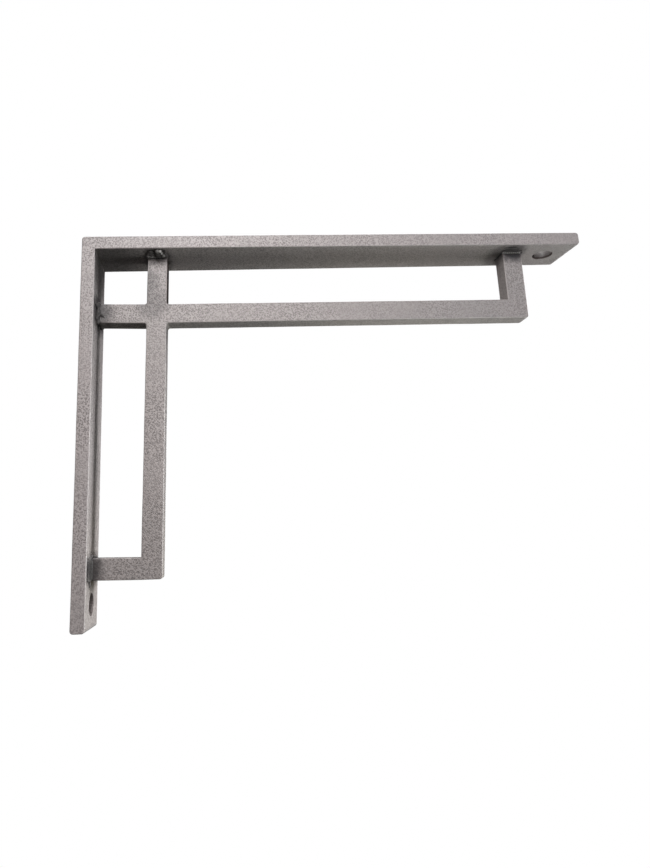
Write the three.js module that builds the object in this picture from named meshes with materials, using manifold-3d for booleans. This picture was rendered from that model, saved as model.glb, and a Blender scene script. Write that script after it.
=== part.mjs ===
// Shelf bracket welded from steel bar: a flat arm and a flat leg with a lattice of square bar between them.
// Millimetres, +Z up. X runs from the wall along the arm, Y across the bars.
// The origin is on the wall face of the leg, half way up it and in the middle of its width.
import * as THREE from 'three';
import { RoundedBoxGeometry } from 'three/addons/geometries/RoundedBoxGeometry.js';
import { mergeVertices } from 'three/addons/utils/BufferGeometryUtils.js';
import Module from 'manifold-3d';

// Flat bars
const armLength = 241.3;
const legLength = 177.8;
const flatWidth = 25.4;
const flatThickness = 6.35;

// Square bar lattice
const squareBar = 9.525;
const railDrop = 25; // underside of the arm to the top of the rail
const dropBarSetout = 23.2; // inner face of the leg to the near side of the drop bar, at the rail
const dropBarLean = 0.78; // degrees, foot of the drop bar towards the wall
const postInset = 26.2; // free end of the arm to the outer side of the post
const footRise = 20.2; // free end of the leg to the underside of the foot bar

// Screw holes, plain and straight through the flat bars
const armHoleInset = 13.1; // free end of the arm to the hole's centre
const legHoleInset = 10.5; // free end of the leg to the hole's centre
const holeDiameter = 9.525;

// Finish of edges and joints
const edgeRadius = 0.8;
const edgeSegments = 3;
const jointGap = 0.3;

// Weld beads: reach along the flat bar, hang down the square bar, overrun past its sides
const dropWeld = { reach: 6, hang: 2.2, overrun: 0.3 };
const postWeld = { reach: 1.6, hang: 1.2, overrun: 1.2 };
const railWeld = { reach: 4.5, hang: 2, overrun: 0.2 };
const footWeld = { reach: 1.6, hang: 1.2, overrun: 0.8 };
const weldSegments = 6;
const holeSegments = 40;

const wasm = await Module();
wasm.setup();

// Levels and faces that the pieces share
const topZ = legLength / 2;
const baseZ = -legLength / 2;
const armUnderZ = topZ - flatThickness;
const railTopZ = armUnderZ - railDrop;
const railUnderZ = railTopZ - squareBar;
const footUnderZ = baseZ + footRise;
const footTopZ = footUnderZ + squareBar;
const postOuterX = armLength - postInset;
const postInnerX = postOuterX - squareBar;
const leanSlope = Math.tan(THREE.MathUtils.degToRad(dropBarLean));
const railMidZ = (railTopZ + railUnderZ) / 2;
const footMidZ = (footTopZ + footUnderZ) / 2;

// Near and far side of the leaning drop bar at a given height
function dropBarNearX(z) {
  return flatThickness + dropBarSetout + (z - railMidZ) * leanSlope;
}

function dropBarFarX(z) {
  return dropBarNearX(z) + squareBar;
}

// Solids
function toSolid(geometry) {
  const plain = geometry.clone();
  plain.deleteAttribute('normal');
  plain.deleteAttribute('uv');
  const merged = mergeVertices(plain, 1e-4);
  const mesh = new wasm.Mesh({
    numProp: 3,
    vertProperties: new Float32Array(merged.attributes.position.array),
    triVerts: new Uint32Array(merged.index.array),
  });
  return new wasm.Manifold(mesh);
}

function toGeometry(solid) {
  const mesh = solid.getMesh();
  const geometry = new THREE.BufferGeometry();
  geometry.setAttribute('position', new THREE.BufferAttribute(mesh.vertProperties, 3));
  geometry.setIndex(new THREE.BufferAttribute(mesh.triVerts, 1));
  geometry.computeVertexNormals();
  return geometry;
}

function boxBetween(low, high) {
  const size = new THREE.Vector3().subVectors(high, low);
  const centre = new THREE.Vector3().addVectors(low, high).multiplyScalar(0.5);
  return new THREE.BoxGeometry(size.x, size.y, size.z).translate(centre.x, centre.y, centre.z);
}

// A bar between two corners, its edges rounded, but sawn square at the ends named in sawn,
// such as '-x' for the end towards the wall
function barSolid(low, high, sawn) {
  const longLow = low.clone();
  const longHigh = high.clone();
  for (const end of sawn) {
    const axis = end[1];
    if (end[0] === '-') {
      longLow[axis] -= 2 * edgeRadius;
    } else {
      longHigh[axis] += 2 * edgeRadius;
    }
  }
  const size = new THREE.Vector3().subVectors(longHigh, longLow);
  const centre = new THREE.Vector3().addVectors(longLow, longHigh).multiplyScalar(0.5);
  const rounded = new RoundedBoxGeometry(size.x, size.y, size.z, edgeSegments, edgeRadius);
  rounded.translate(centre.x, centre.y, centre.z);
  return toSolid(rounded).intersect(toSolid(boxBetween(low, high)));
}

// Screw hole cutter along Z, centred on 0 and standing out past both faces of a flat bar
function holeCutter() {
  const radius = holeDiameter / 2;
  const cutter = new THREE.CylinderGeometry(radius, radius, 2 * flatThickness, holeSegments);
  return cutter.rotateX(Math.PI / 2);
}

// Pieces
function shelfArm() {
  const low = new THREE.Vector3(0, -flatWidth / 2, armUnderZ);
  const high = new THREE.Vector3(armLength, flatWidth / 2, topZ);
  const cutter = holeCutter();
  cutter.translate(armLength - armHoleInset, 0, topZ - flatThickness / 2);
  return barSolid(low, high, []).subtract(toSolid(cutter));
}

function wallLeg() {
  const low = new THREE.Vector3(0, -flatWidth / 2, baseZ);
  const high = new THREE.Vector3(flatThickness, flatWidth / 2, armUnderZ - jointGap);
  const cutter = holeCutter();
  cutter.rotateY(Math.PI / 2);
  cutter.translate(flatThickness / 2, 0, baseZ + legHoleInset);
  return barSolid(low, high, ['+z']).subtract(toSolid(cutter));
}

function dropBar() {
  const length = armUnderZ - jointGap - footUnderZ;
  const low = new THREE.Vector3(-squareBar / 2, -squareBar / 2, 0);
  const high = new THREE.Vector3(squareBar / 2, squareBar / 2, length);
  const geometry = toGeometry(barSolid(low, high, ['+z']));
  const shear = new THREE.Matrix4().makeShear(0, 0, 0, 0, leanSlope, 0);
  geometry.applyMatrix4(shear);
  geometry.translate(dropBarNearX(footUnderZ) + squareBar / 2, 0, footUnderZ);
  return toSolid(geometry);
}

function endPost() {
  const low = new THREE.Vector3(postInnerX, -squareBar / 2, railUnderZ);
  const high = new THREE.Vector3(postOuterX, squareBar / 2, armUnderZ - jointGap);
  return barSolid(low, high, ['+z']);
}

function levelBar(startX, endX, underZ) {
  const low = new THREE.Vector3(startX + jointGap, -squareBar / 2, underZ);
  const high = new THREE.Vector3(endX - jointGap, squareBar / 2, underZ + squareBar);
  return barSolid(low, high, ['-x', '+x']);
}

// Weld bead in the corner between a flat bar and the front or back of a square bar.
// It runs along X, reaches out along the flat bar in Y and hangs down the square bar in -Z.
function weldBead(weld, side) {
  const bareFlat = (flatWidth - squareBar) / 2 - edgeRadius - jointGap;
  const reach = Math.min(weld.reach, bareFlat);
  const section = new THREE.Shape();
  section.moveTo(0, 0);
  section.lineTo(reach, 0);
  section.absellipse(0, 0, reach, weld.hang, 0, Math.PI / 2, false, 0);
  section.lineTo(0, 0);
  const length = squareBar + 2 * weld.overrun;
  const bead = new THREE.ExtrudeGeometry(section, {
    depth: length,
    bevelEnabled: false,
    curveSegments: weldSegments,
  });
  bead.translate(0, 0, -length / 2);
  const towardsFront = new THREE.Matrix4().makeBasis(
    new THREE.Vector3(0, -1, 0),
    new THREE.Vector3(0, 0, -1),
    new THREE.Vector3(1, 0, 0),
  );
  bead.applyMatrix4(towardsFront);
  bead.translate(0, -squareBar / 2 - jointGap, -jointGap);
  if (side === 'back') {
    bead.rotateZ(Math.PI);
  }
  return bead;
}

function beadUnderArm(weld, side, centreX) {
  return weldBead(weld, side).translate(centreX, 0, armUnderZ);
}

function beadOnLeg(weld, side, centreZ) {
  return weldBead(weld, side).rotateY(-Math.PI / 2).translate(flatThickness, 0, centreZ);
}

// Coated steel, a little darker where the lattice stands in the shade of the arm
function coatedSteel(colour) {
  return new THREE.MeshStandardMaterial({ color: colour, roughness: 0.45, metalness: 0.3 });
}

const bracket = new THREE.Group();

function addPiece(name, shape, colour) {
  const geometry = shape.isBufferGeometry ? shape : toGeometry(shape);
  const piece = new THREE.Mesh(geometry, coatedSteel(colour));
  piece.name = name;
  bracket.add(piece);
}

addPiece('shelf_arm', shelfArm(), 0x9b9593);
addPiece('wall_leg', wallLeg(), 0x958f8d);
addPiece('drop_bar', dropBar(), 0x8c8685);
addPiece('rail_stub', levelBar(flatThickness, dropBarNearX(railMidZ), railUnderZ), 0x8f8988);
addPiece('cross_rail', levelBar(dropBarFarX(railMidZ), postInnerX, railUnderZ), 0x8f8988);
addPiece('end_post', endPost(), 0x8c8685);
addPiece('foot_bar', levelBar(flatThickness, dropBarNearX(footMidZ), footUnderZ), 0x847e7d);

for (const side of ['front', 'back']) {
  const dropBarTopX = dropBarNearX(armUnderZ) + squareBar / 2;
  const postX = (postInnerX + postOuterX) / 2;
  addPiece(`drop_bar_weld_${side}`, beadUnderArm(dropWeld, side, dropBarTopX), 0x7d7877);
  addPiece(`end_post_weld_${side}`, beadUnderArm(postWeld, side, postX), 0x7d7877);
  addPiece(`rail_stub_weld_${side}`, beadOnLeg(railWeld, side, railMidZ), 0x7d7877);
  addPiece(`foot_bar_weld_${side}`, beadOnLeg(footWeld, side, footMidZ), 0x7d7877);
}

export default bracket;
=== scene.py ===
# Shelf bracket of welded, powder coated steel bar. Metres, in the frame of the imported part.
import math
import random
import bmesh
import bpy
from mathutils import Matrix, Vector


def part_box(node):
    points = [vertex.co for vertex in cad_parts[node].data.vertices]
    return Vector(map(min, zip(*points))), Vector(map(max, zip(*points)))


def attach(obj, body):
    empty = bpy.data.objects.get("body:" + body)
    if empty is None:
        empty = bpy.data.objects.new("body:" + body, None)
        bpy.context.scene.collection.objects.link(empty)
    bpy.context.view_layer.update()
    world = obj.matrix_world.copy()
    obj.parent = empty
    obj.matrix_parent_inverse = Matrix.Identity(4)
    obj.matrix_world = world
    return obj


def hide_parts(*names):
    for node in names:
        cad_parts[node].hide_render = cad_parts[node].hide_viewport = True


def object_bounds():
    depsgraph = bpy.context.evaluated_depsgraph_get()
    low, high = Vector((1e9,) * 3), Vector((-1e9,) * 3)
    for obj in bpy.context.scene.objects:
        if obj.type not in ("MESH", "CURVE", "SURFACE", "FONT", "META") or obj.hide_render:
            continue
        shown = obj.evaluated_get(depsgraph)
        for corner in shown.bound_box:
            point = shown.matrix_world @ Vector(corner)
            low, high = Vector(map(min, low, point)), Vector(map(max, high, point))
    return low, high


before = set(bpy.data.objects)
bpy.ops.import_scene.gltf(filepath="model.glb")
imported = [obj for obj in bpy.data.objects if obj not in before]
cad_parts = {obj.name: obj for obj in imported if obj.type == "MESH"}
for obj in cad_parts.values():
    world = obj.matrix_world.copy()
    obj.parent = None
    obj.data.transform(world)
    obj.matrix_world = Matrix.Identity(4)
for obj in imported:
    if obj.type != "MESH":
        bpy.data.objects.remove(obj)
cadLow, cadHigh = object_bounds()

mm = 0.001
xAxis = Vector((1, 0, 0))
yAxis = Vector((0, 1, 0))
zAxis = Vector((0, 0, 1))

samePlace = 0.1 * mm  # places closer than this count as the same
facing = 0.9  # share of a direction along an axis from which a face or edge counts as facing that way
flatFace = 0.985  # the same share, for a face that counts as part of a bar's flat side
sharpBend = 60  # degrees, edges sharper than this are rounded
smoothAngle = 32  # degrees, edges blunter than this are shaded smooth

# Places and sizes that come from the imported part
armLow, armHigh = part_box("shelf_arm")
legLow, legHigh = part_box("wall_leg")
dropLow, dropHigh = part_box("drop_bar")
railLow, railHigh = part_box("cross_rail")
postLow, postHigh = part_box("end_post")
footLow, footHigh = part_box("foot_bar")
squareBar = railHigh.z - railLow.z
barFront, barBack = railLow.y, railHigh.y
leanSlope = (dropHigh.x - dropLow.x - squareBar) / (dropHigh.z - dropLow.z)
print("frame read, arm", round(armHigh.x, 4), "leg", round(legLow.z, 4))


def dropNearX(z):  # side of the leaning drop bar that faces the leg
    return dropLow.x + (z - dropLow.z) * leanSlope


# Mesh work in edit mode

def deselectAll():
    if bpy.context.mode != "OBJECT":
        bpy.ops.object.mode_set(mode="OBJECT")
    bpy.ops.object.select_all(action="DESELECT")


def makeActive(piece):
    deselectAll()
    piece.select_set(True)
    bpy.context.view_layer.objects.active = piece


def startEdit(piece, kind="FACE"):
    makeActive(piece)
    bpy.ops.object.mode_set(mode="EDIT")
    bpy.ops.mesh.select_mode(type=kind)
    bpy.ops.mesh.select_all(action="DESELECT")


def endEdit():
    bpy.ops.object.mode_set(mode="OBJECT")


def pickFaces(piece, wanted):  # wanted(centre, normal) says which faces are selected
    bpy.ops.mesh.select_all(action="DESELECT")
    mesh = bmesh.from_edit_mesh(piece.data)
    for face in mesh.faces:
        if wanted(face.calc_center_median(), face.normal):
            face.select_set(True)
    bmesh.update_edit_mesh(piece.data)


def pickEdges(piece, wanted):  # wanted(middle, direction, bend) says which edges are selected
    bpy.ops.mesh.select_all(action="DESELECT")
    mesh = bmesh.from_edit_mesh(piece.data)
    for edge in mesh.edges:
        if len(edge.link_faces) != 2:
            continue
        start, end = edge.verts[0].co, edge.verts[1].co
        bend = math.degrees(edge.calc_face_angle_signed())
        if wanted((start + end) / 2, (end - start).normalized(), bend):
            edge.select_set(True)
    bmesh.update_edit_mesh(piece.data)


def addBlock(name, low, high):
    deselectAll()
    bpy.ops.mesh.primitive_cube_add(size=1, location=(low + high) / 2, scale=high - low)
    block = bpy.context.object
    block.name = name
    bpy.ops.object.transform_apply(location=True, rotation=True, scale=True)
    return block


def cutPlane(place, axis):
    bpy.ops.mesh.select_all(action="SELECT")
    bpy.ops.mesh.bisect(plane_co=axis * place, plane_no=axis)


def cutEvenly(piece, axis, low, high, cell):  # cross cuts, so that the surface can be uneven
    startEdit(piece)
    count = max(1, round((high - low) / cell))
    for step in range(1, count):
        cutPlane(low + (high - low) * step / count, axis)
    endEdit()


def pushFaces(piece, wanted, move):  # extrudes the wanted faces
    pickFaces(piece, wanted)
    bpy.ops.mesh.extrude_region_move(TRANSFORM_OT_translate={"value": move})


def applyModifier(piece, modifier):
    makeActive(piece)
    bpy.ops.object.modifier_apply(modifier=modifier.name)


def makeUneven(piece, depth, size, textureName):  # shallow waves, inwards only
    waves = bpy.data.textures.new(textureName, "CLOUDS")
    waves.noise_scale = size
    waves.noise_depth = 1
    push = piece.modifiers.new("waves", "DISPLACE")
    push.texture = waves
    push.texture_coords = "LOCAL"
    push.strength = depth
    push.mid_level = 1.0
    applyModifier(piece, push)


def smoothBars(piece):
    makeActive(piece)
    bpy.ops.object.shade_smooth_by_angle(angle=math.radians(smoothAngle))
    weigh = piece.modifiers.new("flat faces stay flat", "WEIGHTED_NORMAL")
    weigh.mode = "FACE_AREA"
    weigh.weight = 100
    weigh.keep_sharp = True
    applyModifier(piece, weigh)


# Flat bars, ground to one piece at the outer corner

flatBars = {
    "cornerRadius": 1.4 * mm,  # corners of the outline, seen from the front
    "edgeRadius": 0.5 * mm,  # long edges of the front and back
    "edgeSteps": 3,
    "cell": 3.5 * mm,
    "waveDepth": 0.12 * mm,
    "waveSize": 22 * mm,
    "holeRadius": 9.525 / 2 * mm,
    "holeSides": 64,
    "armHoleFromEnd": 13.1 * mm,
    "legHoleFromEnd": 10.5 * mm,
    "drillLength": 40 * mm,
    "rimRadius": 0.22 * mm,
    "rimSteps": 2,
    "rimBend": 45,  # degrees, least bend of an edge on a hole's rim
    "rimSlack": 1.04,  # how far out an edge may be, in radii of the hole
    "rimTilt": 0.3,  # largest share of an edge's direction along the hole
    "rimDepth": 1.1 * mm,  # depth of the thinly coated rim of a hole, at the bar's inner face
    "backSag": 1.4 * mm,  # how much lower the underside's back edge is at the leg, none at the free end
    "endSkew": 2.0 * mm,  # how much shorter the back of the arm is than its front
    "skewReach": 7 * mm,
}


def armShare(place):  # 0 at the front of the arm, 1 at its back
    return min(1, max(0, (place.y - armLow.y) / (armHigh.y - armLow.y)))


def underSag(place):  # how far the arm's underside has sagged there
    along = min(1, max(0, (armHigh.x - place.x) / (armHigh.x - legHigh.x)))
    return flatBars["backSag"] * along * armShare(place)


def bendArm(piece, spec):
    for vert in piece.data.vertices:
        place = vert.co
        if place.x > legHigh.x - samePlace and place.z > armLow.z - samePlace:
            depth = (armHigh.z - place.z) / (armHigh.z - armLow.z)
            nearEnd = max(0, 1 - (armHigh.x - place.x) / spec["skewReach"])
            skew = spec["endSkew"] * armShare(place) * nearEnd
            vert.co = (place.x - skew, place.y, place.z - underSag(place) * depth)


def roundEdges(piece, spec):  # first the outline's corners, then the edges all round the front and back
    pickEdges(piece, lambda middle, direction, bend: bend > sharpBend and abs(direction.y) > facing)
    bpy.ops.mesh.bevel(offset=spec["cornerRadius"], segments=spec["edgeSteps"] + 1, affect="EDGES")
    pickEdges(piece, lambda middle, direction, bend: bend > sharpBend)
    bpy.ops.mesh.bevel(offset=spec["edgeRadius"], segments=spec["edgeSteps"], affect="EDGES")


def drillHole(piece, centre, axis, rimPlace, spec):
    deselectAll()
    turn = axis.to_track_quat("Z", "Y").to_euler()
    bpy.ops.mesh.primitive_cylinder_add(
        vertices=spec["holeSides"], radius=spec["holeRadius"], depth=spec["drillLength"],
        location=centre, rotation=turn)
    drill = bpy.context.object
    bpy.ops.object.transform_apply(location=True, rotation=True, scale=True)
    startEdit(drill)
    cutPlane(rimPlace, axis)
    endEdit()
    cut = piece.modifiers.new("hole", "BOOLEAN")
    cut.operation = "DIFFERENCE"
    cut.solver = "EXACT"
    cut.object = drill
    applyModifier(piece, cut)
    bpy.data.objects.remove(drill)
    startEdit(piece, "EDGE")

    def onRim(middle, direction, bend):
        away = middle - centre
        flat = away - axis * away.dot(axis)
        onHole = flat.length < spec["holeRadius"] * spec["rimSlack"]
        roundHole = abs(direction.dot(axis)) < spec["rimTilt"]
        return onHole and roundHole and bend > spec["rimBend"]
    pickEdges(piece, onRim)
    bpy.ops.mesh.bevel(offset=spec["rimRadius"], segments=spec["rimSteps"], affect="EDGES")
    endEdit()


def makeFlatBars(spec):
    bars = addBlock("bracket_flat_bars", armLow, armHigh)
    startEdit(bars)
    cutPlane(legHigh.x, xAxis)
    pushFaces(bars, lambda centre, normal: normal.z < -facing and centre.x < legHigh.x,
              (0, 0, legLow.z - armLow.z))
    bpy.ops.mesh.select_mode(type="EDGE")
    roundEdges(bars, spec)
    endEdit()
    inset = spec["cornerRadius"]
    cutEvenly(bars, xAxis, legHigh.x, armHigh.x - inset, spec["cell"])
    cutEvenly(bars, zAxis, legLow.z + inset, armLow.z, spec["cell"])
    cutEvenly(bars, yAxis, armLow.y + inset, armHigh.y - inset, spec["cell"])
    bendArm(bars, spec)
    makeUneven(bars, spec["waveDepth"], spec["waveSize"], "flatBarWaves")
    thickness = armHigh.z - armLow.z
    armHole = Vector((armHigh.x - spec["armHoleFromEnd"], 0, armHigh.z - thickness / 2))
    legHole = Vector((legHigh.x - thickness / 2, 0, legLow.z + spec["legHoleFromEnd"]))
    drillHole(bars, armHole, zAxis, armLow.z + spec["rimDepth"], spec)
    drillHole(bars, legHole, xAxis, legHigh.x - spec["rimDepth"], spec)
    smoothBars(bars)
    return bars


# Square bar lattice, its joints ground flush

latticeBars = {
    "cornerRadius": 1.2 * mm,
    "edgeRadius": 0.45 * mm,
    "edgeSteps": 3,
    "crossFillet": 1.1 * mm,
    "filletSteps": 4,
    "sink": 0.2 * mm,  # how far a bar's end goes into the flat bar
    "riseAtLeg": 0.5 * mm,  # the two short bars rise towards the leg
    "cell": 3.2 * mm,
    "waveDepth": 0.14 * mm,
    "waveSize": 16 * mm,
}


def makeLattice(spec):
    sink = spec["sink"]
    nearX = dropNearX(railLow.z)
    farX = nearX + squareBar
    low = Vector((nearX, barFront, footLow.z))
    high = Vector((farX, barBack, armLow.z + sink))
    bars = addBlock("bracket_lattice", low, high)
    startEdit(bars)
    for level in (footHigh.z, railLow.z, railHigh.z):
        cutPlane(level, zAxis)

    def atRail(centre):
        return railLow.z < centre.z < railHigh.z

    def railEnd(centre, normal):
        return normal.x > facing and atRail(centre)

    def postTop(centre, normal):
        return normal.z > facing and centre.x > postLow.x

    def shortBarEnds(centre, normal):
        return normal.x < -facing and (atRail(centre) or centre.z < footHigh.z)

    pushFaces(bars, railEnd, (postLow.x - farX, 0, 0))
    pushFaces(bars, railEnd, (squareBar, 0, 0))
    pushFaces(bars, postTop, (0, 0, armLow.z + sink - railHigh.z))
    pushFaces(bars, shortBarEnds, (legHigh.x - sink - nearX, 0, spec["riseAtLeg"]))
    # the drop bar leans: each of its levels moves along
    for level in (footLow.z, footHigh.z, railHigh.z, armLow.z + sink):
        bpy.ops.mesh.select_mode(type="VERT")
        bpy.ops.mesh.select_all(action="DESELECT")
        mesh = bmesh.from_edit_mesh(bars.data)
        for vert in mesh.verts:
            onLevel = abs(vert.co.z - level) < samePlace
            if onLevel and nearX - samePlace < vert.co.x < farX + samePlace:
                vert.select_set(True)
        bmesh.update_edit_mesh(bars.data)
        bpy.ops.transform.translate(value=((level - railLow.z) * leanSlope, 0, 0))
    bpy.ops.mesh.select_mode(type="EDGE")

    def crossing(middle, direction, bend):
        nearCross = abs(middle.x - (nearX + farX) / 2) < squareBar
        aboveFoot = middle.z > footHigh.z + squareBar
        return nearCross and aboveFoot and bend < -sharpBend and abs(direction.y) > facing
    pickEdges(bars, crossing)
    bpy.ops.mesh.bevel(offset=spec["crossFillet"], segments=spec["filletSteps"], affect="EDGES")
    roundEdges(bars, spec)
    endEdit()
    inset = spec["cornerRadius"]
    cutEvenly(bars, xAxis, legHigh.x, postHigh.x - inset, spec["cell"])
    cutEvenly(bars, zAxis, footLow.z + inset, armLow.z, spec["cell"])
    cutEvenly(bars, yAxis, barFront + inset, barBack - inset, spec["cell"])
    makeUneven(bars, spec["waveDepth"], spec["waveSize"], "latticeWaves")
    smoothBars(bars)
    return bars


# Weld beads: overlapping lumps, melted into one skin

beadMaking = {
    "rippleDepth": 0.25,  # place of a ripple's middle, as a share of the bead's reach and hang
    "rippleOverlap": 0.8,  # half length of a ripple, as a share of the step between two
    "lumpSteps": 3,  # subdivisions of a lump
    "voxel": 0.2 * mm,
    "smoothing": 2,
    "highlightFalloff": 1.6,  # how abruptly a painted ridge highlight ends
}

# Places on a bead are along the joint, out along the flat bar and down the square bar, in mm.
# lumps end in their three half sizes, painted ridge highlights in their radius and brightness.
dropBarBead = {"length": 9.8, "reach": 2.4, "hang": 1.2, "ripples": 7, "jitter": 0.25,
               "lumps": [(0.6, 4.2, 0.3, (1.5, 2.9, 1.3)), (0.4, 1.6, 0.5, (1.7, 1.6, 1.4)),
                         (1.9, 5.9, 0.4, (0.55, 0.8, 0.9)), (2.4, 4.8, 0.6, (0.5, 1.1, 1.1)),
                         (2.8, 3.4, 0.7, (0.5, 1.2, 1.1)), (3.3, 2.0, 0.7, (0.55, 1.2, 1.0)),
                         (3.9, 4.2, 0.3, (0.5, 1.3, 0.6)), (-2.9, 3.3, 0.2, (1.6, 2.6, 0.6)),
                         (-3.6, 1.4, 0.5, (1.2, 1.4, 0.9)),
                         (-3.4, 0.5, 1.15, (1.5, 0.75, 0.35)), (-1.2, 0.5, 1.2, (1.3, 0.75, 0.35))],
               "ridgeHighlight": [(2.1, 6.5, 0.8, 1.1, 1.0), (2.7, 5.3, 1.3, 0.9, 1.0), (1.7, 6.9, 0.4, 0.6, 0.6),
                        (3.4, 2.9, 1.3, 0.8, 0.7), (0.4, 6.5, 0.9, 1.3, 0.35),
                        (-4.6, 2.2, 1.4, 0.6, 0.8), (-3.9, 2.1, 1.4, 0.6, 0.8), (-3.2, 2.0, 1.35, 0.6, 0.75),
                        (-2.5, 1.7, 1.4, 0.6, 0.65), (-1.7, 1.4, 1.4, 0.6, 0.5), (-1.0, 1.0, 1.5, 0.6, 0.45),
                        (0.1, 1.3, 1.8, 0.6, 0.3), (1.2, 0.9, 1.7, 0.6, 0.3), (2.8, 1.7, 1.5, 0.7, 0.6)]}
endPostBead = {"length": 9.4, "reach": 1.6, "hang": 0.5, "ripples": 8, "jitter": 0.03,
               "lumps": [(-4.2, 0.35, 0.75, (1.6, 0.45, 0.4)), (-2.1, 0.35, 0.75, (1.6, 0.45, 0.4)),
                         (0, 0.35, 0.75, (1.6, 0.45, 0.4)), (2.1, 0.35, 0.75, (1.6, 0.45, 0.4)),
                         (3.9, 0.35, 0.75, (1.4, 0.45, 0.4)), (-0.9, 2.6, 0.2, (3.9, 1.6, 0.45)),
                         (-2.0, 4.0, 0.15, (3.6, 1.4, 0.4))],
               "ridgeHighlight": [(place, 0.6, 0.95, 0.7, 0.6)
                        for place in (-4.5, -3.5, -2.5, -1.5, -0.5, 0.5, 1.5, 2.5, 3.5)]}
railStubBead = {"length": 9.8, "reach": 1.5, "hang": 1.5, "ripples": 6, "jitter": 0.25,
                "lumps": [(-3.1, 1.9, 0.4, (1.2, 1.4, 0.9)), (2.9, 2.6, 0.3, (1.0, 1.6, 0.6)),
                          (-0.9, 0.3, 2.1, (0.7, 0.5, 0.7)), (-1.6, 0.2, 2.9, (0.6, 0.45, 0.6)),
                          (0.9, 0.7, 1.1, (2.2, 0.9, 0.6))],
                "ridgeHighlight": [(-1.5, 1.5, 1.0, 0.7, 0.12), (0.3, 1.5, 1.0, 0.7, 0.12),
                         (2.0, 1.6, 1.0, 0.7, 0.12)]}
footBarBead = {"length": 10.0, "reach": 4.8, "hang": 0.6, "ripples": 10, "jitter": 0.03,
               "lumps": [(5.4, -1.6, 0.3, (0.9, 1.5, 0.8)), (-6.0, 0.8, 0.1, (1.6, 1.2, 0.5)),
                         (0, 0.4, 0.8, (4.8, 0.4, 0.45))],
               "ridgeHighlight": [(place, 0.8, 0.9, 0.6, 0.12) for place in (-3, -1, 1, 3)]}


# corner is the middle of the joint line; a tidy bead has no lumps of its own and no painted ridge highlights
def weldBead(name, spec, corner, along, out, down, seed, tidy=False):
    dice = random.Random(seed)
    lumps = []
    count = spec["ripples"]
    for step in range(count):
        place = -spec["length"] / 2 + spec["length"] * (step + 0.5) / count
        swell = 1 + dice.uniform(-1, 1) * spec["jitter"]
        depth = beadMaking["rippleDepth"]
        halfLength = spec["length"] / count * beadMaking["rippleOverlap"]
        lumps.append((place, spec["reach"] * depth, spec["hang"] * depth,
                      (halfLength, spec["reach"] * swell, spec["hang"] * swell)))
    if not tidy:
        lumps += spec["lumps"]
    parts = []
    for place, reach, hang, size in lumps:
        deselectAll()
        centre = corner + (along * place + out * reach + down * hang) * mm
        bpy.ops.mesh.primitive_ico_sphere_add(subdivisions=beadMaking["lumpSteps"], radius=1,
                                              location=centre)
        lump = bpy.context.object
        scale = along * size[0] + out * size[1] + down * size[2]
        lump.scale = [abs(value) * mm for value in scale]
        bpy.ops.object.transform_apply(location=True, rotation=True, scale=True)
        parts.append(lump)
    deselectAll()
    for lump in parts:
        lump.select_set(True)
    bead = parts[0]
    bpy.context.view_layer.objects.active = bead
    bpy.ops.object.join()
    bead.name = name
    skin = bead.modifiers.new("skin", "REMESH")
    skin.mode = "VOXEL"
    skin.voxel_size = beadMaking["voxel"]
    applyModifier(bead, skin)
    soften = bead.modifiers.new("soften", "SMOOTH")
    soften.iterations = beadMaking["smoothing"]
    applyModifier(bead, soften)
    makeActive(bead)
    bpy.ops.object.shade_smooth()
    if tidy:
        return bead
    # painted highlights on the bead ridges, where the light catches them
    ridgeHighlight = bead.data.attributes.new("ridgeHighlight", "FLOAT", "POINT")
    ridges = [(corner + (along * place + out * reach + down * hang) * mm, radius * mm, brightness)
              for place, reach, hang, radius, brightness in spec["ridgeHighlight"]]
    for vert in bead.data.vertices:
        shares = [brightness * min(1, beadMaking["highlightFalloff"] * (1 - (vert.co - ridge).length / radius))
                  for ridge, radius, brightness in ridges]
        ridgeHighlight.data[vert.index].value = max(0, *shares)
    return bead


# Coating: textured silver grey powder coat, darker round the welds from weld heat and painted shade, with
# painted shade in the inner corner, the screw holes and on the flat bars' rounded edges, and painted
# highlights on the bead ridges

def newGroup(name, inputs, outputs):
    group = bpy.data.node_groups.new(name, "ShaderNodeTree")
    for socketName, kind, value in inputs:
        socket = group.interface.new_socket(name=socketName, in_out="INPUT", socket_type=kind)
        socket.default_value = value
    for socketName, kind in outputs:
        group.interface.new_socket(name=socketName, in_out="OUTPUT", socket_type=kind)
    return group


def addNode(tree, kind, x, y, **values):
    node = tree.nodes.new(kind)
    node.location = (x, y)
    for key, value in values.items():
        setattr(node, key, value)
    return node


def addGroup(tree, group, x, y, **values):
    node = addNode(tree, "ShaderNodeGroup", x, y)
    node.node_tree = group
    setInputs(node, **values)
    return node


def setInputs(node, **values):  # underscores stand for the spaces in socket names
    for key, value in values.items():
        node.inputs[key.replace("_", " ")].default_value = value


grainLook = {
    "wanderScale": 900.0,
    "wanderReach": 1.6 * mm,  # how far the grains are bent out of round
    "grainRange": (0.28, 0.68),  # distance from a grain's middle, mapped to grainLevels
    "grainLevels": (-0.75, 0.25),
    "dustScale": 2300.0,
    "dustRange": (0.3, 0.7),
    "dustLevel": 0.28,
    "patchScale": 42.0,
    "patchRange": (0.35, 0.65),
    "patchStrength": (0.55, 1.15),
    "calmRange": (0.03, 0.15),  # metres from the wall between which the grain fades
    "calmest": 0.6,
    "meanLight": 0.75,
    "cloudScale": 75.0,
}


def mapRange(node, start, end, low, high):
    setInputs(node, From_Min=start, From_Max=end, To_Min=low, To_Max=high)


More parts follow.
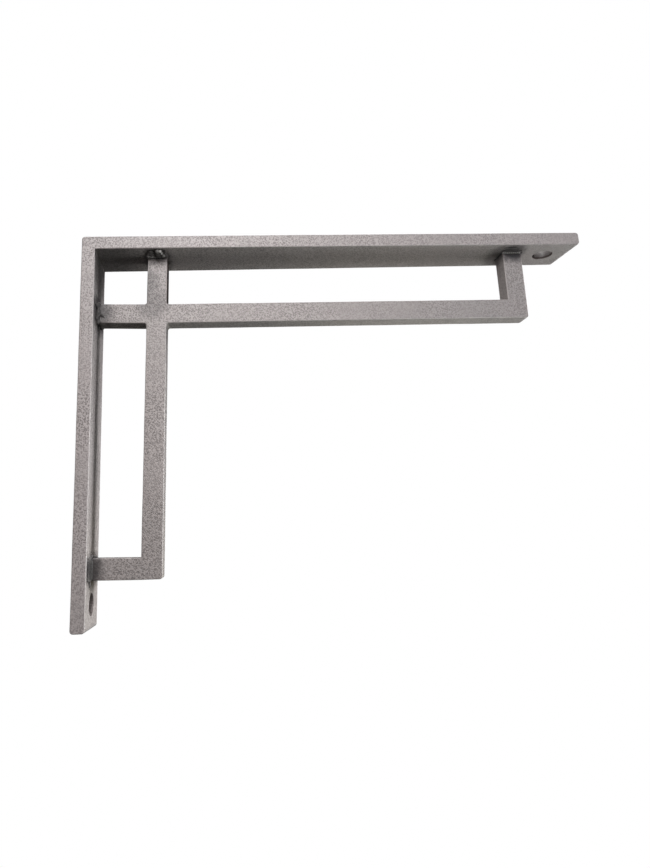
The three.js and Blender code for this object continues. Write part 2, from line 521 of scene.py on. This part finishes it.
def makeGrainGroup():  # grains a little under a millimetre across, stronger in some patches than in others
    look = grainLook
    group = newGroup("coatGrain",
                     [("Grain Scale", "NodeSocketFloat", 1000.0), ("Contrast", "NodeSocketFloat", 1.0)],
                     [("Light Share", "NodeSocketFloat"), ("Cloud", "NodeSocketFloat"),
                      ("Height", "NodeSocketFloat")])
    start = addNode(group, "NodeGroupInput", -1100, 0)
    end = addNode(group, "NodeGroupOutput", 700, 0)
    place = addNode(group, "ShaderNodeTexCoord", -1100, -300)
    wander = addNode(group, "ShaderNodeTexNoise", -1100, 600)  # bends the grains out of round
    setInputs(wander, Scale=look["wanderScale"], Detail=1.0)
    group.links.new(place.outputs["Object"], wander.inputs["Vector"])
    bend = addNode(group, "ShaderNodeVectorMath", -900, 600, operation="MULTIPLY_ADD")
    bend.inputs[1].default_value = [look["wanderReach"]] * 3
    group.links.new(wander.outputs["Color"], bend.inputs[0])
    group.links.new(place.outputs["Object"], bend.inputs[2])
    grain = addNode(group, "ShaderNodeTexVoronoi", -700, 500)
    group.links.new(bend.outputs["Vector"], grain.inputs["Vector"])
    group.links.new(start.outputs["Grain Scale"], grain.inputs["Scale"])
    sharpen = addNode(group, "ShaderNodeMapRange", -500, 500, interpolation_type="SMOOTHSTEP")
    mapRange(sharpen, *look["grainRange"], *look["grainLevels"])
    group.links.new(grain.outputs["Distance"], sharpen.inputs["Value"])
    dust = addNode(group, "ShaderNodeTexNoise", -700, 800)
    setInputs(dust, Scale=look["dustScale"], Detail=1.0)
    group.links.new(place.outputs["Object"], dust.inputs["Vector"])
    faint = addNode(group, "ShaderNodeMapRange", -500, 800)
    mapRange(faint, *look["dustRange"], -look["dustLevel"], look["dustLevel"])
    group.links.new(dust.outputs["Fac"], faint.inputs["Value"])
    dusty = addNode(group, "ShaderNodeMath", -300, 600, operation="ADD")
    group.links.new(sharpen.outputs["Result"], dusty.inputs[0])
    group.links.new(faint.outputs["Result"], dusty.inputs[1])
    patch = addNode(group, "ShaderNodeTexNoise", -800, 0)
    setInputs(patch, Scale=look["patchScale"], Detail=2.0)
    group.links.new(place.outputs["Object"], patch.inputs["Vector"])
    patchStrength = addNode(group, "ShaderNodeMapRange", -550, 0)
    mapRange(patchStrength, *look["patchRange"], *look["patchStrength"])
    group.links.new(patch.outputs["Fac"], patchStrength.inputs["Value"])
    contrast = addNode(group, "ShaderNodeMath", -300, 100, operation="MULTIPLY")
    group.links.new(patchStrength.outputs["Result"], contrast.inputs[0])
    group.links.new(start.outputs["Contrast"], contrast.inputs[1])
    scaled = addNode(group, "ShaderNodeMath", -100, 250, operation="MULTIPLY")
    group.links.new(dusty.outputs["Value"], scaled.inputs[0])
    group.links.new(contrast.outputs["Value"], scaled.inputs[1])
    along = addNode(group, "ShaderNodeSeparateXYZ", -800, -550)
    group.links.new(place.outputs["Object"], along.inputs["Vector"])
    calmer = addNode(group, "ShaderNodeMapRange", -550, -550)  # towards the arm's free end
    mapRange(calmer, *look["calmRange"], 1.0, look["calmest"])
    group.links.new(along.outputs["X"], calmer.inputs["Value"])
    calmed = addNode(group, "ShaderNodeMath", 50, 250, operation="MULTIPLY")
    group.links.new(scaled.outputs["Value"], calmed.inputs[0])
    group.links.new(calmer.outputs["Result"], calmed.inputs[1])
    middle = addNode(group, "ShaderNodeMath", 250, 250, operation="ADD", use_clamp=True)
    middle.inputs[1].default_value = look["meanLight"]
    group.links.new(calmed.outputs["Value"], middle.inputs[0])
    cloud = addNode(group, "ShaderNodeTexNoise", -800, -300)
    setInputs(cloud, Scale=look["cloudScale"], Detail=3.0)
    group.links.new(place.outputs["Object"], cloud.inputs["Vector"])
    group.links.new(middle.outputs["Value"], end.inputs["Light Share"])
    group.links.new(cloud.outputs["Fac"], end.inputs["Cloud"])
    group.links.new(dusty.outputs["Value"], end.inputs["Height"])
    return group


# Weld heat darkening round the joints, partly painted shade where the leg, arm and post shade the bars
heatAndShadeLook = {
    "acrossBars": 0.45,  # weight of the distance across the bars
    "raggedScale": 320.0,
    "raggedReach": 2.2 * mm,
    "barDepth": (1.2 * mm, 0.4 * mm),  # depth in a flat bar where the heat darkening and painted shade have gone, and where they are whole
    "sideDepth": (0.2 * mm, 0.8 * mm),  # the same, from the bars' fronts and backs
}


def makeHeatAndShadeGroup():  # how near the surface is to a joint, with an uneven rim: the mask for weld heat darkening and painted shade
    look = heatAndShadeLook
    group = newGroup("weldHeatAndShade",
                     [("Joint", "NodeSocketVector", (0, 0, 0)), ("Core", "NodeSocketFloat", 0.002),
                      ("Reach", "NodeSocketFloat", 0.01), ("Strength", "NodeSocketFloat", 1.0)],
                     [("HeatAndShade", "NodeSocketFloat")])
    start = addNode(group, "NodeGroupInput", -1100, 0)
    end = addNode(group, "NodeGroupOutput", 500, 0)
    place = addNode(group, "ShaderNodeTexCoord", -1100, -250)
    away = addNode(group, "ShaderNodeVectorMath", -850, 0, operation="SUBTRACT")
    group.links.new(place.outputs["Object"], away.inputs[0])
    group.links.new(start.outputs["Joint"], away.inputs[1])
    flat = addNode(group, "ShaderNodeVectorMath", -650, 0, operation="MULTIPLY")
    flat.inputs[1].default_value = (1, look["acrossBars"], 1)
    group.links.new(away.outputs["Vector"], flat.inputs[0])
    distance = addNode(group, "ShaderNodeVectorMath", -450, 0, operation="LENGTH")
    group.links.new(flat.outputs["Vector"], distance.inputs[0])
    ragged = addNode(group, "ShaderNodeTexNoise", -850, -300)
    setInputs(ragged, Scale=look["raggedScale"], Detail=3.0)
    group.links.new(place.outputs["Object"], ragged.inputs["Vector"])
    shift = addNode(group, "ShaderNodeMapRange", -650, -300)
    setInputs(shift, To_Min=-look["raggedReach"], To_Max=look["raggedReach"])
    group.links.new(ragged.outputs["Fac"], shift.inputs["Value"])
    uneven = addNode(group, "ShaderNodeMath", -250, -50, operation="ADD")
    group.links.new(distance.outputs["Value"], uneven.inputs[0])
    group.links.new(shift.outputs["Result"], uneven.inputs[1])
    fade = addNode(group, "ShaderNodeMapRange", 0, 0, interpolation_type="SMOOTHSTEP")
    setInputs(fade, To_Min=1.0, To_Max=0.0)
    group.links.new(uneven.outputs["Value"], fade.inputs["Value"])
    group.links.new(start.outputs["Core"], fade.inputs["From Min"])
    group.links.new(start.outputs["Reach"], fade.inputs["From Max"])
    scaled = addNode(group, "ShaderNodeMath", 250, 0, operation="MULTIPLY")
    group.links.new(fade.outputs["Result"], scaled.inputs[0])
    group.links.new(start.outputs["Strength"], scaled.inputs[1])
    # neither heat darkening nor painted shade on the outer faces of the flat bars, nor on their fronts and
    # backs
    spot = addNode(group, "ShaderNodeSeparateXYZ", -850, -600)
    group.links.new(place.outputs["Object"], spot.inputs["Vector"])
    offMiddle = addNode(group, "ShaderNodeMath", -650, -600, operation="ABSOLUTE")
    group.links.new(spot.outputs["Y"], offMiddle.inputs[0])
    heatAndShade = scaled.outputs["Value"]
    gone, whole = look["barDepth"]
    sideGone, sideWhole = look["sideDepth"]
    limits = ((spot.outputs["X"], legHigh.x - gone, legHigh.x - whole),
              (spot.outputs["Z"], armLow.z + gone, armLow.z + whole),
              (offMiddle.outputs["Value"], armHigh.y - sideGone, armHigh.y - sideWhole))
    for step, (value, outer, inner) in enumerate(limits):
        inside = addNode(group, "ShaderNodeMapRange", -400, -500 - step * 260)
        setInputs(inside, From_Min=outer, From_Max=inner)
        group.links.new(value, inside.inputs["Value"])
        kept = addNode(group, "ShaderNodeMath", 300 + step * 150, -200, operation="MULTIPLY")
        group.links.new(heatAndShade, kept.inputs[0])
        group.links.new(inside.outputs["Result"], kept.inputs[1])
        heatAndShade = kept.outputs["Value"]
    group.links.new(heatAndShade, end.inputs["HeatAndShade"])
    return group


# edge colours: painted shade on the flat bars' rounded edges, painted highlight on the weld beads' ridges
coatings = {
    "flatBarCoat": {"light": (0.48, 0.439, 0.436), "dark": (0.212, 0.190, 0.188), "edge": (0.34, 0.32, 0.315),
                    "roughness": 0.35, "grain": 1300.0, "contrast": 1.0, "bump": 0.25, "smokeAndShade": 1.0,
                    "specular": 0.5},
    "squareBarCoat": {"light": (0.412, 0.376, 0.370), "dark": (0.18, 0.162, 0.159),
                      "edge": (0.40, 0.375, 0.365), "roughness": 0.35, "grain": 1350.0, "contrast": 1.0,
                      "bump": 0.25, "smokeAndShade": 1.0, "specular": 0.5},
    "weldCoat": {"light": (0.24, 0.225, 0.22), "dark": (0.15, 0.14, 0.14), "edge": (0.48, 0.48, 0.46),
                 "roughness": 0.46, "grain": 1300.0, "contrast": 0.3, "bump": 0.15, "smokeAndShade": 0.95,
                 "specular": 0.25},
}

allCoats = {
    "cloudTint": (0.90, 0.93, 0.92),
    "smokeAndShadeTint": (0.18, 0.18, 0.185),  # what weld heat and painted shade leave of the colour
    "recessShadeTint": (0.38, 0.335, 0.32),  # what is left of the colour under painted shade in the screw holes and under the arm
    "sheenSpread": 0.04,  # light grains are this much smoother, dark ones this much rougher
    "bumpDepth": 0.15 * mm,
}

# Joints darkened by weld heat, with painted shade and painted shadows from the leg, arm and post
heatAndShadeJoints = {  # middle seen from the front, core and reach in mm, strength
    # weld heat plus painted shadow of the leg on the bars
    "stub at leg": ((legHigh.x - 1 * mm, railHigh.z - squareBar * 0.4), 4.2, 11.8, 1.0),
    "foot at leg": ((legHigh.x - 1 * mm, footHigh.z - squareBar * 0.5), 4.2, 9.6, 1.0),
    # weld heat plus painted shadow of the arm's overhang
    "drop bar under arm": ((dropNearX(armLow.z) + squareBar * 0.45, armLow.z + 2 * mm), 4.4, 9.8, 1.0),
    "post under arm": ((postHigh.x - squareBar / 2, armLow.z + 2 * mm), 4.2, 9.4, 1.0),
    # painted shadow of the post on the arm's underside, partly weld soot
    "arm over post": ((postHigh.x - squareBar / 2 - 3.5 * mm, armLow.z + 8 * mm), 9.3, 12.5, 0.6),
    # painted shadow of the leg across the drop bar
    "drop bar's near side": ((dropNearX(armLow.z) - 3 * mm, (armLow.z + railHigh.z) / 2 - 2 * mm),
                             5.0, 12.5, 0.6),
    "crossing": ((dropNearX(railHigh.z) + squareBar * 0.3, railHigh.z + squareBar * 0.05), 4.5, 10.5, 0.5),
    # painted shade in the inner corner under the arm
    "corner under arm": ((legHigh.x, armLow.z), 9.0, 30.0, 0.68),
}


def makePaintedEdgeGroup():  # clouds the coat, paints the edge colour on rounded edges (painted shade on the flat bars) and paints highlights on the bead ridges
    group = newGroup("paintedEdgeShadeAndHighlight",
                     [("Coat Colour", "NodeSocketColor", (1, 1, 1, 1)),
                      ("Edge Colour", "NodeSocketColor", (1, 1, 1, 1)), ("Cloud", "NodeSocketFloat", 0.5)],
                     [("Colour", "NodeSocketColor"), ("Ridge Highlight", "NodeSocketFloat")])
    start = addNode(group, "NodeGroupInput", -900, 0)
    end = addNode(group, "NodeGroupOutput", 400, 0)
    clouded = addNode(group, "ShaderNodeMix", -500, 300, data_type="RGBA", blend_type="MULTIPLY")
    clouded.inputs["B"].default_value = (*allCoats["cloudTint"], 1)
    group.links.new(start.outputs["Cloud"], clouded.inputs["Factor"])
    group.links.new(start.outputs["Coat Colour"], clouded.inputs["A"])
    rounded = addNode(group, "ShaderNodeAttribute", -900, -250, attribute_name="roundedEdge")
    clouds = addNode(group, "ShaderNodeMath", -500, 0, operation="MULTIPLY")
    group.links.new(rounded.outputs["Fac"], clouds.inputs[0])
    group.links.new(start.outputs["Cloud"], clouds.inputs[1])
    ridgeHighlight = addNode(group, "ShaderNodeAttribute", -900, -450, attribute_name="ridgeHighlight")
    paintedShare = addNode(group, "ShaderNodeMath", -250, 0, operation="MAXIMUM")
    group.links.new(clouds.outputs["Value"], paintedShare.inputs[0])
    group.links.new(ridgeHighlight.outputs["Fac"], paintedShare.inputs[1])
    edged = addNode(group, "ShaderNodeMix", 50, 200, data_type="RGBA")
    group.links.new(paintedShare.outputs["Value"], edged.inputs["Factor"])
    group.links.new(clouded.outputs["Result"], edged.inputs["A"])
    group.links.new(start.outputs["Edge Colour"], edged.inputs["B"])
    group.links.new(edged.outputs["Result"], end.inputs["Colour"])
    group.links.new(ridgeHighlight.outputs["Fac"], end.inputs["Ridge Highlight"])
    return group


def makeSmokeGroup():  # darkens the coat by weld heat and painted shade, but not on the painted ridge highlights
    group = newGroup("weldSmoke",
                     [("Coat Colour", "NodeSocketColor", (1, 1, 1, 1)), ("HeatAndShade", "NodeSocketFloat", 0.0),
                      ("Ridge Highlight", "NodeSocketFloat", 0.0), ("Smoke", "NodeSocketFloat", 1.0)],
                     [("Colour", "NodeSocketColor")])
    start = addNode(group, "NodeGroupInput", -700, 0)
    end = addNode(group, "NodeGroupOutput", 300, 0)
    covered = addNode(group, "ShaderNodeMapRange", -450, -150)
    setInputs(covered, To_Max=0.0)
    group.links.new(start.outputs["Ridge Highlight"], covered.inputs["Value"])
    group.links.new(start.outputs["Smoke"], covered.inputs["To Min"])
    share = addNode(group, "ShaderNodeMath", -200, -50, operation="MULTIPLY")
    group.links.new(start.outputs["HeatAndShade"], share.inputs[0])
    group.links.new(covered.outputs["Result"], share.inputs[1])
    smoked = addNode(group, "ShaderNodeMix", 50, 100, data_type="RGBA", blend_type="MULTIPLY")
    smoked.inputs["B"].default_value = (*allCoats["smokeAndShadeTint"], 1)
    group.links.new(share.outputs["Value"], smoked.inputs["Factor"])
    group.links.new(start.outputs["Coat Colour"], smoked.inputs["A"])
    group.links.new(smoked.outputs["Result"], end.inputs["Colour"])
    return group


def makeRecessShadeGroup():  # paints shade into the coat in the screw holes and on the drop bar's far side under the arm
    group = newGroup("paintedRecessShade", [("Coat Colour", "NodeSocketColor", (1, 1, 1, 1))],
                     [("Colour", "NodeSocketColor")])
    start = addNode(group, "NodeGroupInput", -500, 0)
    end = addNode(group, "NodeGroupOutput", 200, 0)
    recessShade = addNode(group, "ShaderNodeAttribute", -500, -200, attribute_name="paintedRecessShade")
    shadedColour = addNode(group, "ShaderNodeMix", -150, 0, data_type="RGBA", blend_type="MULTIPLY")
    shadedColour.inputs["B"].default_value = (*allCoats["recessShadeTint"], 1)
    group.links.new(recessShade.outputs["Fac"], shadedColour.inputs["Factor"])
    group.links.new(start.outputs["Coat Colour"], shadedColour.inputs["A"])
    group.links.new(shadedColour.outputs["Result"], end.inputs["Colour"])
    return group


def makeCoating(name, spec, groups):
    coating = bpy.data.materials.new(name)
    coating.use_nodes = True
    tree = coating.node_tree
    shader = tree.nodes["Principled BSDF"]
    setInputs(shader, Metallic=0.0, Specular_IOR_Level=spec["specular"])
    grain = addGroup(tree, groups["grain"], -1500, 200, Grain_Scale=spec["grain"], Contrast=spec["contrast"])
    tint = addNode(tree, "ShaderNodeMix", -1100, 300, data_type="RGBA")
    tint.inputs["A"].default_value = (*spec["dark"], 1)
    tint.inputs["B"].default_value = (*spec["light"], 1)
    tree.links.new(grain.outputs["Light Share"], tint.inputs["Factor"])
    paintedEdges = addGroup(tree, groups["paintedEdges"], -850, 300, Edge_Colour=(*spec["edge"], 1))
    tree.links.new(tint.outputs["Result"], paintedEdges.inputs["Coat Colour"])
    tree.links.new(grain.outputs["Cloud"], paintedEdges.inputs["Cloud"])
    # darkening by weld heat and painted shade round the joints
    heatAndShade = None
    for step, (place, core, reach, strength) in enumerate(heatAndShadeJoints.values()):
        joint = addGroup(tree, groups["heatAndShade"], -1500, -200 - step * 220, Joint=(place[0], 0, place[1]),
                         Core=core * mm, Reach=reach * mm, Strength=strength)
        if heatAndShade is None:
            heatAndShade = joint.outputs["HeatAndShade"]
            continue
        most = addNode(tree, "ShaderNodeMath", -1200 + step * 60, -200 - step * 220, operation="MAXIMUM")
        tree.links.new(heatAndShade, most.inputs[0])
        tree.links.new(joint.outputs["HeatAndShade"], most.inputs[1])
        heatAndShade = most.outputs["Value"]
    # weld heat and painted shade darken the colour
    smokeAndShade = addGroup(tree, groups["smokeAndShade"], -600, 300, Smoke=spec["smokeAndShade"])
    tree.links.new(paintedEdges.outputs["Colour"], smokeAndShade.inputs["Coat Colour"])
    tree.links.new(paintedEdges.outputs["Ridge Highlight"], smokeAndShade.inputs["Ridge Highlight"])
    tree.links.new(heatAndShade, smokeAndShade.inputs["HeatAndShade"])
    # painted shade in the screw holes and under the arm
    recessShade = addGroup(tree, groups["recessShade"], -350, 300)
    tree.links.new(smokeAndShade.outputs["Colour"], recessShade.inputs["Coat Colour"])
    tree.links.new(recessShade.outputs["Colour"], shader.inputs["Base Color"])
    sheen = addNode(tree, "ShaderNodeMapRange", -350, 0)
    setInputs(sheen, To_Min=spec["roughness"] + allCoats["sheenSpread"],
              To_Max=spec["roughness"] - allCoats["sheenSpread"])
    tree.links.new(grain.outputs["Light Share"], sheen.inputs["Value"])
    tree.links.new(sheen.outputs["Result"], shader.inputs["Roughness"])
    bump = addNode(tree, "ShaderNodeBump", -350, -300)
    setInputs(bump, Strength=spec["bump"], Distance=allCoats["bumpDepth"])
    tree.links.new(grain.outputs["Height"], bump.inputs["Height"])
    tree.links.new(bump.outputs["Normal"], shader.inputs["Normal"])
    return coating


def markFaces(piece, name, share):  # share(centre, normal) is 0 to 1
    mark = piece.data.attributes.new(name, "FLOAT", "FACE")
    for face in piece.data.polygons:
        mark.data[face.index].value = float(share(face.center, face.normal))


def onRoundedEdge(centre, normal):
    return max(abs(value) for value in normal) < flatFace


paintedRecessShade = {  # how much painted shade, 0 to 1
    "armHoleRim": 1.0,
    "armHoleSide": 0.8,
    "armHoleSideFrom": -2 * mm,  # place along the arm from the hole's middle, towards the wall
    "legHole": 0.7,
    "slack": 1 * mm,  # how far outside its bar a face may lie
    "barFacing": 0.8,  # share of a normal along X from which a face is on the drop bar's far side
}


# painted shade on the screw holes' walls and rims
def inScrewHole(centre, normal):
    reach = flatBars["holeRadius"] + flatBars["rimRadius"]
    slack = paintedRecessShade["slack"]
    alongArm = centre.x - armHigh.x + flatBars["armHoleFromEnd"]
    alongLeg = centre.z - legLow.z - flatBars["legHoleFromEnd"]
    if centre.z > armLow.z - slack and math.hypot(alongArm, centre.y) < reach and abs(normal.z) < facing:
        if centre.z < armLow.z + flatBars["rimDepth"]:
            return paintedRecessShade["armHoleRim"]
        return paintedRecessShade["armHoleSide"] if alongArm < paintedRecessShade["armHoleSideFrom"] else 0
    if centre.x < legHigh.x + slack and math.hypot(alongLeg, centre.y) < reach and abs(normal.x) < facing:
        return paintedRecessShade["legHole"]
    return 0


# painted shade on the drop bar's far side under the arm
def onFarSideUnderArm(centre, normal):  # of the drop bar, above the rail
    onDropBar = dropNearX(railHigh.z) < centre.x < dropNearX(armLow.z) + squareBar + paintedRecessShade["slack"]
    return onDropBar and railHigh.z < centre.z < armLow.z and normal.x > paintedRecessShade["barFacing"]


def dress(piece, coating, slotName, *nodes):
    piece.data.materials.clear()
    piece.data.materials.append(coating)
    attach(piece, "root")
    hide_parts(*nodes)


# The object

flatFrame = makeFlatBars(flatBars)
print("flat bars made", len(flatFrame.data.polygons), "faces")
lattice = makeLattice(latticeBars)
print("lattice made", len(lattice.data.polygons), "faces")

# rounded edges take the painted edge shade
markFaces(flatFrame, "roundedEdge", onRoundedEdge)
markFaces(lattice, "roundedEdge", onRoundedEdge)
# painted shade in the screw holes and on the drop bar's far side under the arm
markFaces(flatFrame, "paintedRecessShade", inScrewHole)
markFaces(lattice, "paintedRecessShade", onFarSideUnderArm)

coatGroups = {
    "grain": makeGrainGroup(),
    "heatAndShade": makeHeatAndShadeGroup(),
    "paintedEdges": makePaintedEdgeGroup(),
    "smokeAndShade": makeSmokeGroup(),
    "recessShade": makeRecessShadeGroup(),
}
coats = {name: makeCoating(name, spec, coatGroups) for name, spec in coatings.items()}
print("coatings made", len(coats))

dress(flatFrame, coats["flatBarCoat"], "coated_flat_bar", "shelf_arm", "wall_leg")
dress(lattice, coats["squareBarCoat"], "coated_square_bar",
      "drop_bar", "rail_stub", "cross_rail", "end_post", "foot_bar")

dropTopX = dropNearX(armLow.z) + squareBar / 2
postX = (postLow.x + postHigh.x) / 2
railZ = (railLow.z + railHigh.z) / 2 + latticeBars["riseAtLeg"]
footZ = (footLow.z + footHigh.z) / 2 + latticeBars["riseAtLeg"]
seed = 1
for side, faceY, out in (("front", barFront, -yAxis), ("back", barBack, yAxis)):
    dropCorner = Vector((dropTopX, faceY, armLow.z))
    postCorner = Vector((postX, faceY, armLow.z))
    places = {
        "drop_bar_weld": (dropBarBead, dropCorner - zAxis * underSag(dropCorner), xAxis, -zAxis),
        "end_post_weld": (endPostBead, postCorner - zAxis * underSag(postCorner), xAxis, -zAxis),
        "rail_stub_weld": (railStubBead, Vector((legHigh.x, faceY, railZ)), zAxis, xAxis),
        "foot_bar_weld": (footBarBead, Vector((legHigh.x, faceY, footZ)), zAxis, xAxis),
    }
    for name, (spec, corner, along, down) in places.items():
        seed += 1
        bead = weldBead(f"{name}_{side}_bead", spec, corner, along, out, down, seed, side == "back")
        dress(bead, coats["weldCoat"], "coated_weld", f"{name}_{side}")
print("weld beads made")


# Studio

studio = {
    "floorDrop": 0.22,  # floor below the leg's end
    "floorSize": 8.0,
    "backdrop": 1.0,
    "surroundings": 0.02,
}

lamps = {
    "keySoftbox": {"place": (0.0, -0.42, 0.34), "size": 0.22, "power": 1.23, "tint": (1.0, 0.995, 1.0)},
    "frontFill": {"place": (0.1, -0.42, 0.12), "size": 0.25, "power": 1.04, "tint": (1.0, 0.91, 0.88)},
    "frontRightFill": {"place": (0.32, -0.42, 0.12), "size": 0.25, "power": 0.15, "tint": (0.40, 0.72, 1.0)},
    "rightHighPanel": {"place": (2.2, 0.0, 0.48), "size": 0.60, "power": 49.0, "tint": (1.0, 1.0, 1.0)},
    "backLowRightPanel": {"place": (0.35, 0.8, -0.15), "size": 0.30, "power": 0.085, "tint": (1.0, 0.8, 0.5)},
    "endMirrorPanel": {"place": (0.85, 0.80, -0.20), "size": 0.20, "power": 0.4, "tint": (1.0, 0.99, 0.99)},
    "underEndPanel": {"place": (0.26, 0.0, -0.08), "size": 0.10, "power": 0.139, "tint": (1.0, 0.995, 1.0)},
    "underRailPanel": {"place": (0.18, 0.0, -0.12), "size": 0.15, "power": 0.067, "tint": (0.96, 1.0, 0.78)},
    "underRailNearPanel": {"place": (0.16, 0.0, -0.05), "size": 0.10, "power": 0.034,
                           "tint": (0.80, 0.90, 1.0)},
    "topBackPanel": {"place": (0.10, 0.40, 0.75), "size": 0.50, "power": 3.0, "tint": (1.0, 0.97, 0.96)},
    "backLeftFill": {"place": (-0.60, 0.35, 0.10), "size": 0.40, "power": 1.2, "tint": (1.0, 0.96, 0.95)},
}


def whiteToCamera(tree, background, brightness):
    path = addNode(tree, "ShaderNodeLightPath", -600, 300)
    level = addNode(tree, "ShaderNodeMapRange", -300, 300)
    setInputs(level, To_Min=brightness, To_Max=studio["backdrop"])
    tree.links.new(path.outputs["Is Camera Ray"], level.inputs["Value"])
    tree.links.new(level.outputs["Result"], background.inputs["Strength"])


def makeStudio():
    world = bpy.data.worlds.new("studioRoom")
    bpy.context.scene.world = world
    world.use_nodes = True
    background = world.node_tree.nodes["Background"]
    background.inputs["Color"].default_value = (1, 1, 1, 1)
    whiteToCamera(world.node_tree, background, studio["surroundings"])
    deselectAll()
    bpy.ops.mesh.primitive_plane_add(size=studio["floorSize"],
                                     location=(0, 0, cadLow.z - studio["floorDrop"]))
    floor = bpy.context.object
    floor.name = "pale_floor"
    paint = bpy.data.materials.new("paleFloor")
    paint.use_nodes = True
    tree = paint.node_tree
    tree.nodes.remove(tree.nodes["Principled BSDF"])
    glow = addNode(tree, "ShaderNodeEmission", 0, 0)
    whiteToCamera(tree, glow, studio["surroundings"])
    tree.links.new(glow.outputs["Emission"], tree.nodes["Material Output"].inputs["Surface"])
    floor.data.materials.append(paint)


def addLamp(name, spec):
    data = bpy.data.lights.new(name, "AREA")
    data.shape = "SQUARE"
    data.size = spec["size"]
    data.energy = spec["power"]
    data.color = spec["tint"]
    lamp = bpy.data.objects.new(name, data)
    lamp.visible_camera = False
    bpy.context.scene.collection.objects.link(lamp)
    lamp.location = spec["place"]
    aim = (cadLow + cadHigh) / 2 - lamp.location
    lamp.rotation_euler = aim.to_track_quat("-Z", "Y").to_euler()


photoView = {
    "place": (0.06806, -0.30055, -0.05043),
    "turn": (102.804, 1.858, -2.808),  # degrees
    "lens": 26.99,
    "sensor": 36.0,
    "nearClip": 10 * mm,
    "shift": (0.0691, -0.0565),
}


def addCamera(view):
    data = bpy.data.cameras.new("photoCamera")
    data.lens = view["lens"]
    data.sensor_width = view["sensor"]
    data.shift_x, data.shift_y = view["shift"]
    data.clip_start = view["nearClip"]
    camera = bpy.data.objects.new("photoCamera", data)
    bpy.context.scene.collection.objects.link(camera)
    camera.location = view["place"]
    camera.rotation_euler = [math.radians(angle) for angle in view["turn"]]
    bpy.context.scene.camera = camera


makeStudio()
for lampName, lampSpec in lamps.items():
    addLamp(lampName, lampSpec)
addCamera(photoView)
bpy.context.scene.view_settings.view_transform = "Standard"
print("studio made")
